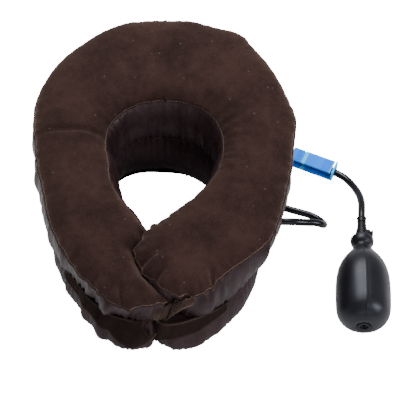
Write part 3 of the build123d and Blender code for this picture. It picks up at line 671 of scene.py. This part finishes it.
def build_velvet(left):
    out3, oidx = arm_outline(left)
    keep = np.arange(0, len(out3), 1)
    edge = out3[keep][:, :2]
    back = np.array([(0, y) for y in np.arange(94, 182, 3.0)])
    # close the outline along the middle of the back
    if left:
        poly = np.vstack([edge, [(0, 184)], back[::-1]])
    else:
        poly = np.vstack([edge, [(0, 91)], back])
    # drop near duplicates
    good = [0]
    for k in range(1, len(poly)):
        if np.linalg.norm(poly[k] - poly[good[-1]]) > 0.6:
            good.append(k)
    if np.linalg.norm(poly[good[-1]] - poly[good[0]]) < 0.6:
        good.pop()
    poly = poly[good]
    lo, hi = poly.min(axis=0), poly.max(axis=0)
    st = 2.6
    rng = np.random.RandomState(3)
    gx, gy = np.meshgrid(np.arange(lo[0], hi[0], st), np.arange(lo[1], hi[1], st * 0.87))
    gx = gx + (np.arange(gx.shape[0]) % 2)[:, None] * st / 2
    g = np.column_stack([gx.ravel(), gy.ravel()])
    g += rng.uniform(-0.2, 0.2, g.shape)
    g = g[signed_in(g, poly) > 1.5]
    rings = []
    for off in (0.45, 1.1, 2.0):
        dd = np.roll(poly, -1, axis=0) - np.roll(poly, 1, axis=0)
        dd /= np.linalg.norm(dd, axis=1)[:, None] + 1e-9
        cand = np.vstack([poly + np.column_stack([-dd[:, 1], dd[:, 0]]) * off, poly - np.column_stack([-dd[:, 1], dd[:, 0]]) * off])
        sd = signed_in(cand, poly)
        rings.append(cand[(sd > off * 0.75) & (sd < off * 1.2)])
    g = g[signed_in(g, poly) > 2.9]
    pts = [Vector(p) for p in np.vstack([poly, *rings, g])]
    n = len(poly)
    edges = [(i, (i + 1) % n) for i in range(n)]
    res = geometry.delaunay_2d_cdt(pts, edges, [list(range(n))], 1, 1e-4)
    v = np.array([tuple(p) for p in res[0]])
    faces = res[2]
    dist, idx = nearest(v, out3[:, :2])
    z = velvet_height(v, left, dist, idx, oidx)
    ez = out3[idx, 2]
    z = z * sstep(0.0, 2.0, dist) + ((ez + 12.0 * np.sqrt(np.clip(1 - (1 - dist / 27) ** 2, 0, 1))) * (1 - sstep(0.0, 2.0, dist)))
    return np.column_stack([v, z]), faces


vr, fr_ = build_velvet(False)
vl, fl_ = build_velvet(True)
verts = np.vstack([vr, vl])
faces = [tuple(f) for f in fr_] + [tuple(i + len(vr) for i in f) for f in fl_]
velvet = make_object("velvet_cover", to_m(verts), faces, VELVET)
bm = bmesh.new()
bm.from_mesh(velvet.data)
mid_line = [v for v in bm.verts if abs(v.co.x) < 2e-4 and v.co.y > 0.06]
bmesh.ops.remove_doubles(bm, verts=mid_line, dist=0.0012)
bmesh.ops.recalc_face_normals(bm, faces=bm.faces)
bm.to_mesh(velvet.data)
bm.free()
if sum(p.normal.z for p in velvet.data.polygons) < 0:
    velvet.data.flip_normals()
velvet.data.polygons.foreach_set("use_smooth", [True] * len(velvet.data.polygons))
sol = velvet.modifiers.new("cloth", "SOLIDIFY")
sol.thickness = 0.0012
sol.offset = -1

# ------------------------------------------------------------------ satin walls
COLS = 30
v_ = np.linspace(0, 1, COLS)
g_hi = wave_noise(S, LEN, 31, 4.5, 8.5, 20)
g_hi2 = wave_noise(S, LEN, 32, 5.0, 10, 20)
g_mid = wave_noise(S, LEN, 33, 14, 34)
g_low = wave_noise(S, LEN, 34, 35, 80)
height_u = np.maximum(6.0, Tp[:, 2] - MUp[:, 2])
bulge_u = (4.5 + 2.5 * neck + 1.0 * front_R - 0.5 * bump_at(U, I_LO0 + 5, I_LO0 + 13, 1.5)) * np.clip(height_u / 45, 0.3, 1.1)
P_u = np.zeros((R, COLS, 3))
for j, v in enumerate(v_):
    base = Tp * (1 - v) + MUp * v
    prof = math.sin(math.pi * v) ** 0.72 if 0 < v < 1 else 0.0
    dt, db = v * height_u, (1 - v) * height_u
    fade = np.clip(np.minimum(dt, db) / 2.0, 0, 1)
    gath = (0.25 + 0.75 * np.exp(-dt / 10.0)) * g_hi * 0.55 * np.exp(-dt / 14) + g_hi2 * 1.1 * np.exp(-db / 10.0)
    folds = prof * (0.9 * g_mid + 1.0 * g_low) * (0.55 + 0.9 * (front_R + front_L))
    off = bulge_u * prof + gath * fade + folds
    P_u[:, j, :2] = base[:, :2] + nT * off[:, None]
    P_u[:, j, 2] = base[:, 2] + prof * 0.8 * wave_noise(S + 7 * v, LEN, 35, 20, 50) * fade
P_l = np.zeros((R, COLS + 4, 3))
zl = 0.43 * np.maximum(MLp[:, 2], 18)
Lmid = np.column_stack([Lp[:, :2], zl])
foot_in = 6.5 + 2.0 * neck
F = np.column_stack([Lp[:, :2] - nL * foot_in[:, None], np.full(R, 0.7)])
C = 2 * Lmid - 0.5 * (MLp + F)
height_l = np.maximum(10.0, MLp[:, 2])
for j, v in enumerate(v_):
    base = (1 - v) ** 2 * MLp + 2 * v * (1 - v) * C + v * v * F
    prof = math.sin(math.pi * v) if 0 < v < 1 else 0.0
    dt, db = v * height_l * 1.2, (1 - v) * height_l * 1.2
    fade = np.clip(np.minimum(dt, db) / 2.0, 0, 1)
    gath = g_hi2 * 1.15 * np.exp(-dt / 9.0) + wave_noise(S, LEN, 36, 4.5, 9, 20) * 1.25 * np.exp(-db / 9.0)
    folds = prof * (0.7 * g_mid + 0.7 * wave_noise(S, LEN, 37, 18, 50)) * (0.45 + 0.45 * (front_R + front_L))
    off = gath * fade + folds
    P_l[:, j, :2] = base[:, :2] + nL * off[:, None]
    P_l[:, j, 2] = np.maximum(0.5, base[:, 2] + prof * 0.5 * wave_noise(S, LEN, 38, 16, 40))
for k in range(4):
    t = (k + 1) / 4
    P_l[:, COLS + k, :2] = F[:, :2] - nL * (7.0 * t)
    P_l[:, COLS + k, 2] = 0.7 - 0.3 * t
P_l[:, :, 2] = np.maximum(P_l[:, :, 2], 0.25)

upper_satin = make_object("upper_satin_wall", to_m(P_u.reshape(-1, 3)), grid_faces(R, COLS, True), SATIN)
lower_satin = make_object("lower_satin_wall", to_m(P_l.reshape(-1, 3)), grid_faces(R, COLS + 4, True), SATIN)
for o in (upper_satin, lower_satin):
    fix_normals(o)


# the cloth between the tiers, seen on the ledge at the front and from below the lobe, in the darker satin copy whose
# colour is painted shade
def cap_fill(name, loop3, sel_right, z_of, mat):
    objs = []
    pts2 = loop3[sel_right][:, :2]
    good = [0]
    for k in range(1, len(pts2)):
        if np.linalg.norm(pts2[k] - pts2[good[-1]]) > 1.0:
            good.append(k)
    poly = pts2[good]
    lo, hi = poly.min(axis=0), poly.max(axis=0)
    gx, gy = np.meshgrid(np.arange(lo[0], hi[0], 5.0), np.arange(lo[1], hi[1], 5.0))
    g = np.column_stack([gx.ravel(), gy.ravel()])
    g = g[signed_in(g, poly) > 2.0]
    pts = [Vector(p) for p in np.vstack([poly, g])]
    n = len(poly)
    res = geometry.delaunay_2d_cdt(pts, [(i, (i + 1) % n) for i in range(n)], [list(range(n))], 1, 1e-4)
    v = np.array([tuple(p) for p in res[0]])
    d, idx = nearest(v, loop3[sel_right][:, :2])
    z = z_of(v, d, loop3[sel_right][idx, 2])
    return make_object(name, to_m(np.column_stack([v, z])), [tuple(f) for f in res[2]], mat)


selR = np.where(U <= I_LI0 - 1.0)[0]
selL = np.where(U >= I_LI0 - 1.0)[0]
# The ledges and the lobe's underside use the darker satin copy: painted shade.
cap_r = cap_fill("divider_right", MLp, selR, lambda v, d, ez: ez + 3.0 * (1 - np.exp(-d / 6)), SATIN_SHADED)
cap_l = cap_fill("divider_left", MLp, selL, lambda v, d, ez: ez + 3.0 * (1 - np.exp(-d / 6)), SATIN_SHADED)
under_r = cap_fill("lobe_underside", MUp, selR, lambda v, d, ez: ez + 1.5 * (1 - np.exp(-d / 6)), SATIN_SHADED)


# ------------------------------------------------------------------ seams
def tube(name, pts_mm, radius_mm, mat, cyclic=False, sides=8):
    """Round bead along a line, as a mesh."""
    P = np.asarray(pts_mm, float)
    n = len(P)
    if cyclic:
        T = np.roll(P, -1, axis=0) - np.roll(P, 1, axis=0)
    else:
        T = np.gradient(P, axis=0)
    T /= np.linalg.norm(T, axis=1)[:, None] + 1e-9
    ref = np.array([0, 0, 1.0]) if abs(T[0][2]) < 0.9 else np.array([1.0, 0, 0])
    e = np.cross(T[0], ref)
    vs, fs = [], []
    for i in range(n):
        e = e - T[i] * (e @ T[i])
        e /= np.linalg.norm(e) + 1e-9
        q = np.cross(T[i], e)
        for k in range(sides):
            an = 2 * math.pi * k / sides
            vs.append(P[i] + radius_mm * (math.cos(an) * e + math.sin(an) * q))
    for i in range(n if cyclic else n - 1):
        j = (i + 1) % n
        for k in range(sides):
            m = (k + 1) % sides
            fs.append((i * sides + k, i * sides + m, j * sides + m, j * sides + k))
    if not cyclic:
        fs.append(tuple(range(sides)))
        fs.append(tuple((n - 1) * sides + k for k in range(sides - 1, -1, -1)))
    ob = make_object(name, to_m(np.array(vs)), fs, mat)
    fix_normals(ob)
    return ob


edge_pts = Tp + np.column_stack([nT * 0.35, np.full(R, -0.5)])
top_seam = tube("velvet_edge_seam", edge_pts, 0.6, VELVET_EDGE, True)
seam_pts = MUp + np.column_stack([nT * 0.2, np.full(R, 0.0)])
mid_seam = tube("middle_seam", seam_pts, 0.65, THREAD, True)
foot_pts = F + np.column_stack([nL * 0.4, np.full(R, 0.35)])
foot_pts[:, 2] = np.maximum(foot_pts[:, 2], 1.0)
foot_seam = tube("foot_seam", foot_pts, 0.65, THREAD, True)

soft = [velvet, upper_satin, lower_satin, cap_r, cap_l, under_r, top_seam, mid_seam, foot_seam]


# ------------------------------------------------------------------ straps that follow the lower wall
du = np.roll(P_l, -1, axis=0) - np.roll(P_l, 1, axis=0)
dv = np.gradient(P_l, axis=1)
Nl = np.cross(du, dv)
Nl /= np.linalg.norm(Nl, axis=2)[:, :, None] + 1e-9
if (Nl[:, COLS // 2, :2] * nL).sum() < 0:
    Nl = -Nl
for _ in range(3):
    Nl = (np.roll(Nl, 1, axis=0) + 2 * Nl + np.roll(Nl, -1, axis=0)) / 4
    Nl[:, 1:-1] = (Nl[:, :-2] + 2 * Nl[:, 1:-1] + Nl[:, 2:]) / 4
P_s = P_l.copy()
for _ in range(3):
    P_s = (np.roll(P_s, 1, axis=0) + 2 * P_s + np.roll(P_s, -1, axis=0)) / 4


def wall_sample(ui, vi):
    """Point and normal of the lower wall at loop index ui and column fraction vi."""
    r = np.interp(ui, U, np.arange(R))
    c = np.clip(vi, 0, 1) * (COLS - 1)
    r0, c0 = np.floor(r).astype(int), np.minimum(np.floor(c).astype(int), COLS - 2)
    tr, tc = (r - r0)[:, None], (c - c0)[:, None]
    r1 = (r0 + 1) % R

    def mixg(G):
        return (G[r0, c0] * (1 - tr) * (1 - tc) + G[r1, c0] * tr * (1 - tc) + G[r0, c0 + 1] * (1 - tr) * tc + G[r1, c0 + 1] * tr * tc)

    p, n = mixg(P_s), mixg(Nl)
    over = np.clip(-np.asarray(vi, float), 0, 1) * np.ones(len(p))
    flat = n * np.array([1.0, 1.0, 0.0])
    flat /= np.linalg.norm(flat, axis=1)[:, None] + 1e-9
    k = np.clip(over / 0.05, 0, 1)[:, None]
    p = p + np.column_stack([np.zeros(len(p)), np.zeros(len(p)), over * 42.0]) + flat * (over * 9.0)[:, None]
    return p, n * (1 - k) + flat * k


def strap(name, u0, u1, v_top, v_bot, lift, mat, nu=60, nv=12, thick=1.3, ends=(0, 0), stitch=True):
    """Band on the lower wall from loop index u0 to u1 between two edges given along it."""
    t = np.linspace(0, 1, nu)
    P = np.zeros((nu, nv, 3))
    for j in range(nv):
        f = j / (nv - 1)
        vv = v_top(t) * (1 - f) + v_bot(t) * f
        p, n = wall_sample(u0 + (u1 - u0) * t, vv)
        up = lift(t, f)
        P[:, j] = p + n * up[:, None]
    top = P.reshape(-1, 3)
    ob = make_object(name, to_m(top), grid_faces(nu, nv, False), mat)
    fix_normals(ob)
    m = ob.modifiers.new("cloth", "SOLIDIFY")
    m.thickness = thick / 1000
    m.offset = 0
    stitches = []
    if stitch:
        for f in (0.10, 0.90):
            pts = []
            for k in range(nu * 2):
                tt = np.array([k / (nu * 2 - 1)])
                vv = v_top(tt) * (1 - f) + v_bot(tt) * f
                p, n = wall_sample(u0 + (u1 - u0) * tt, vv)
                lf = lift(tt, f) + thick / 2 + 0.12
                pts.append((p + n * lf[:, None])[0])
            for a in range(0, len(pts) - 3, 4):
                stitches.append(np.array(pts[a:a + 3]))
    return ob, stitches


def stitch_mesh(name, runs, mat, radius=0.32):
    vs, fs = [], []
    for run in runs:
        for a, b in zip(run, run[1:]):
            d = b - a
            ln = np.linalg.norm(d)
            if ln < 1e-6:
                continue
            d = d / ln
            e1 = np.cross(d, (0, 0, 1.0))
            e1 /= np.linalg.norm(e1) + 1e-9
            e2 = np.cross(d, e1)
            k0 = len(vs)
            for c in (a, b):
                for q in range(5):
                    an = 2 * math.pi * q / 5
                    vs.append(c + radius * (math.cos(an) * e1 + math.sin(an) * e2))
            for q in range(5):
                fs.append((k0 + q, k0 + (q + 1) % 5, k0 + 5 + (q + 1) % 5, k0 + 5 + q))
    return make_object(name, to_m(np.array(vs)), fs, mat)


loop_band, st1 = strap("loop_band", 21.7, 16.4,
                       lambda t: -0.12 - 0.05 * (1 - t),
                       lambda t: np.interp(t, [0, 0.12, 0.35, 0.7, 1.0], [0.66, 0.50, 0.27, 0.19, 0.13]),
                       lambda t, f: 1.0 + 0.5 * np.sin(t * 9 + 2 * f) + 0.0 * t, VELVET_BAND)
left_index = lambda j: I_LO0 + (NL - 1 - j)
hook_band, st2 = strap("hook_band", left_index(11.3), left_index(16.0),
                       lambda t: -0.10 - 0.04 * t,
                       lambda t: 0.16 + 0.12 * t,
                       lambda t, f: 1.0 + 0.4 * np.sin(t * 11), VELVET_BAND)
tab, st3 = strap("hook_tab", left_index(15.6), left_index(20.35),
                 lambda t: -0.14 + 0.30 * sstep(0.45, 1.0, t),
                 lambda t: np.interp(t, [0, 0.2, 0.45, 0.68, 0.85, 1.0], [0.26, 0.30, 0.38, 0.48, 0.42, 0.26]),
                 lambda t, f: 1.9 + 1.2 * t + 4.5 * sstep(0.78, 1, t) * (0.4 + 0.6 * (1 - f)) + 0.5 * np.sin(t * 8 + 3 * f), VELVET_BAND, nu=70, nv=16)
tv = np.array([tuple(v.co) for v in tab.data.vertices]).reshape(70, 16, 3) * 1000.0
tv[:, :, 1] += SHIFT
# The tab's rolled edge is drawn in the lighter velvet copy: painted sheen.
tab_edge = tube("hook_tab_edge", np.vstack([tv[40:, 15], tv[69, 14::-1]]) + np.array([0, -0.5, 0.3]), 0.6, VELVET_SHEEN_LIT)
stitches = stitch_mesh("strap_stitches", st1 + st2, THREAD)
tab_stitches = stitch_mesh("tab_stitches", st3, THREAD)

# ------------------------------------------------------------------ scrunched velvet fold between the arm ends
edge_a = np.array([(-26, -115, 55), (-15, -116.5, 57), (-5, -116, 57), (4, -115, 60), (13, -115, 66), (21, -116, 71), (29, -115.5, 75), (37, -112.5, 77)], float)
edge_b = np.array([(-27, -118.5, 50), (-17, -121, 48), (-8, -123, 43.5), (-0.5, -124.5, 38.5), (7, -122.5, 47), (16, -120.5, 55), (27, -118.5, 61), (37, -113.5, 67)], float)
ea, _ua = catmull(edge_a, False, 12)
eb, _ub = catmull(edge_b, False, 12)
nf = len(ea)
tf = np.linspace(0, 1, nf)
G = np.zeros((nf, 16, 3))
outw = np.column_stack([0.35 * tf - 0.1, -0.95 + 0.15 * tf, np.full(nf, 0.25)])
for j in range(16):
    f = j / 15
    puff = 4.2 * math.sin(math.pi * min(1.0, f * 1.15)) ** 0.8 * (0.7 + 0.5 * np.sin(tf * 9 + 1.0))
    crease = 0.9 * np.sin(tf * 20 + 2.5 * f) * math.sin(math.pi * f) + 0.35 * np.sin(tf * 37 - 4 * f) * math.sin(math.pi * min(1, f + 0.1))
    G[:, j] = ea * (1 - f) + eb * f + outw * (puff + crease)[:, None]
# The fold takes the lighter velvet copy: painted sheen on the scrunched velvet.
fold = make_object("closure_fold", to_m(G.reshape(-1, 3)), grid_faces(nf, 14, False), VELVET_SHEEN_LIT)
fix_normals(fold)
m = fold.modifiers.new("cloth", "SOLIDIFY")
m.thickness = 0.0014

# ------------------------------------------------------------------ air hose
ROUTE = [(0.11805, -0.0164, 0.027), (0.13, -0.0164, 0.027), (0.143, -0.0146, 0.0229), (0.1549, -0.0133, 0.021), (0.1625, -0.0121, 0.0148),
         (0.1646, -0.0061, 0.0075), (0.1597, 0.002, 0.0044), (0.1525, 0.0076, 0.0039), (0.1423, 0.0113, 0.00375), (0.1306, 0.0151, 0.00375),
         (0.1185, 0.0198, 0.00375), (0.1106, 0.0295, 0.00375), (0.1078, 0.0422, 0.00375), (0.1066, 0.0548, 0.00375), (0.1028, 0.0668, 0.00375),
         (0.1002, 0.0788, 0.00375), (0.1046, 0.09, 0.0039), (0.1152, 0.0943, 0.0046), (0.12802, 0.0883, 0.00575), (0.15777, 0.07402, 0.00575),
         (0.18774, 0.06019, 0.00575), (0.1976, 0.044, 0.0095), (0.2026, 0.0265, 0.0165), (0.2032, 0.0095, 0.0234), (0.20098, -0.00592, 0.027),
         (0.20013, -0.01839, 0.027)]
cu = bpy.data.curves.new("air_hose_line", "CURVE")
cu.dimensions = "3D"
cu.bevel_depth = 0.00375
cu.bevel_resolution = 8
cu.resolution_u = 10
sp = cu.splines.new("NURBS")
sp.points.add(len(ROUTE) - 1)
for p, c in zip(sp.points, ROUTE):
    p.co = (*c, 1)
sp.order_u = 3
sp.use_endpoint_u = True
cu.materials.append(HOSE)
hose = bpy.data.objects.new("air_hose_line", cu)
scene.collection.objects.link(hose)

# ------------------------------------------------------------------ rubber bulb
PROFILE = [(7.6, 0.2), (9.6, 0.0), (11.2, 0.9), (11.75, 3.6), (11.3, 7.4), (9.8, 9.5), (9.4, 12.2), (10.8, 16.0), (14.8, 21.5),
           (19.6, 28.0), (23.6, 36.5), (25.9, 46.0), (26.8, 58.0), (26.8, 72.0), (26.3, 84.0), (24.4, 92.0), (19.8, 98.2), (13.6, 101.7),
           (9.4, 102.7), (7.2, 102.2), (6.6, 100.8), (6.5, 99.3), (5.4, 98.9)]
prof, _u = catmull(np.array(PROFILE), False, 8)
SEG = 128
tilt = math.radians(-3.9)
bc = np.array([198.9, -18.5, 27.0])
bx = np.array([math.cos(tilt), math.sin(tilt), 0])
by = np.array([-math.sin(tilt), math.cos(tilt), 0])
bz = np.array([0, 0, 1.0])
rngb = np.random.RandomState(9)
vb = []
for r, s in prof:
    for k in range(SEG):
        a = 2 * math.pi * k / SEG
        rr = r
        if 10 < s < 102.8 and r > 8:
            near = min(abs(math.sin((a - math.pi / 2) / 2)), abs(math.sin((a + math.pi / 2) / 2))) * 2 * r
            rr += 0.34 * math.exp(-(near / 0.55) ** 2)
            rr += 0.12 * math.sin(3 * a + s * 0.05) + 0.08 * math.sin(2 * a - s * 0.08 + 1)
        vb.append(bc + bx * rr * math.cos(a) + bz * rr * math.sin(a) - by * s)
fb = []
for i in range(len(prof) - 1):
    for k in range(SEG):
        fb.append((i * SEG + k, i * SEG + (k + 1) % SEG, (i + 1) * SEG + (k + 1) % SEG, (i + 1) * SEG + k))
vb = np.array(vb)
vb[:, 2] = np.maximum(vb[:, 2], 0.2)
bulb = make_object("rubber_bulb", to_m(vb), fb, BULB)
fix_normals(bulb)

part_lines = []
for side in (1, -1):
    sel = [(r, q) for r, q in prof if 11.5 < q < 101.9 and r > 9]
    pts = np.array([bc + bz * side * (r + 0.42) - by * q for r, q in sel])
    pts[:, 2] = np.maximum(pts[:, 2], 0.35)
    part_lines.append(tube("bulb_parting_line_" + ("top" if side > 0 else "bottom"), pts, 0.28, BLACK))

def ax(x, y, z=0.0):
    """A point in the bulb's own frame, in plan mm."""
    return bc + bx * x + by * y + bz * z


turns, per = 3.5, 22
coil = []
for k in range(int(turns * per) + 1):
    a = 2 * math.pi * k / per
    coil.append(ax(2.62 + 3.4 * k / (turns * per), 6.0 + 2.2 * math.cos(a), 2.2 * math.sin(a)))
spring = tube("coil_spring", np.array(coil), 0.25, STEEL)

# ------------------------------------------------------------------ riding, replacing
LOWER, UPPER = "lower_tier", "upper_tier"
for o in soft + [fold]:
    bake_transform(o)
for o in (loop_band, hook_band, stitches):
    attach(o, LOWER)
for o in (tab, tab_stitches, tab_edge):
    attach(o, "closing_tab")
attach(hose, LOWER)
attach(bulb, LOWER)
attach(spring, LOWER)
tuple(to_m(ax(2.4, 6.0)))
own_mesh(spring)
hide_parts("release_spring")
for o in part_lines:
    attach(o, LOWER)
tuple(to_m(bc))
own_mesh(bulb)

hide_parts("upper_top_panel", "upper_edge_binding")
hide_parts("upper_outer_wall", "upper_inner_wall", "upper_bladder")
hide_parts("lower_outer_wall", "lower_inner_wall", "lower_bladder", "transfer_tube")
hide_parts("tier_divider_panel")
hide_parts("lower_loop_band")
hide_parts("lower_hook_band")
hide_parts("lower_hook_tab", "hook_patch")
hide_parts("upper_closure_fold")
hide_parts("air_hose")
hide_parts("bulb_left_half", "bulb_right_half")

# ------------------------------------------------------------------ floor and light
fm, nt, bsdf = new_mat("floor_white")
bsdf.inputs["Base Color"].default_value = (0.80, 0.80, 0.80, 1)
bsdf.inputs["Roughness"].default_value = 0.9
bsdf.inputs["Specular IOR Level"].default_value = 0.1
bsdf.inputs["Emission Color"].default_value = (1, 1, 1, 1)
lp = nt.nodes.new("ShaderNodeLightPath")
nt.links.new(maths(nt, "MULTIPLY", lp.outputs["Is Camera Ray"], 16.0), bsdf.inputs["Emission Strength"])
bpy.ops.mesh.primitive_plane_add(size=14, location=(0, 0, -0.0003))
floor = bpy.context.object
floor.name = "floor"
floor.data.materials.append(fm)

world = bpy.data.worlds.new("studio")
scene.world = world
world.use_nodes = True
bgn = world.node_tree.nodes["Background"]
bgn.inputs["Color"].default_value = (1.0, 1.0, 1.0, 1)
bgn.inputs["Strength"].default_value = 0.48


def area(name, loc, target, size, power, color=(1, 1, 1)):
    ld = bpy.data.lights.new(name, "AREA")
    ld.shape = "RECTANGLE"
    ld.size, ld.size_y = size
    ld.energy = power
    ld.color = color
    lo = bpy.data.objects.new(name, ld)
    scene.collection.objects.link(lo)
    lo.location = loc
    lo.rotation_euler = (Vector(target) - Vector(loc)).to_track_quat("-Z", "Y").to_euler()
    return lo


area("key", (-0.12, 0.85, 1.35), (0, 0, 0.05), (1.1, 0.9), 36, (1, 1, 1))
area("fill", (1.05, -0.55, 0.75), (0.08, -0.05, 0.05), (0.5, 0.7), 13, (0.95, 0.96, 1.0))
area("front", (0.1, -1.3, 0.5), (0, -0.1, 0.04), (1.1, 0.4), 3, (0.92, 0.94, 1.0))
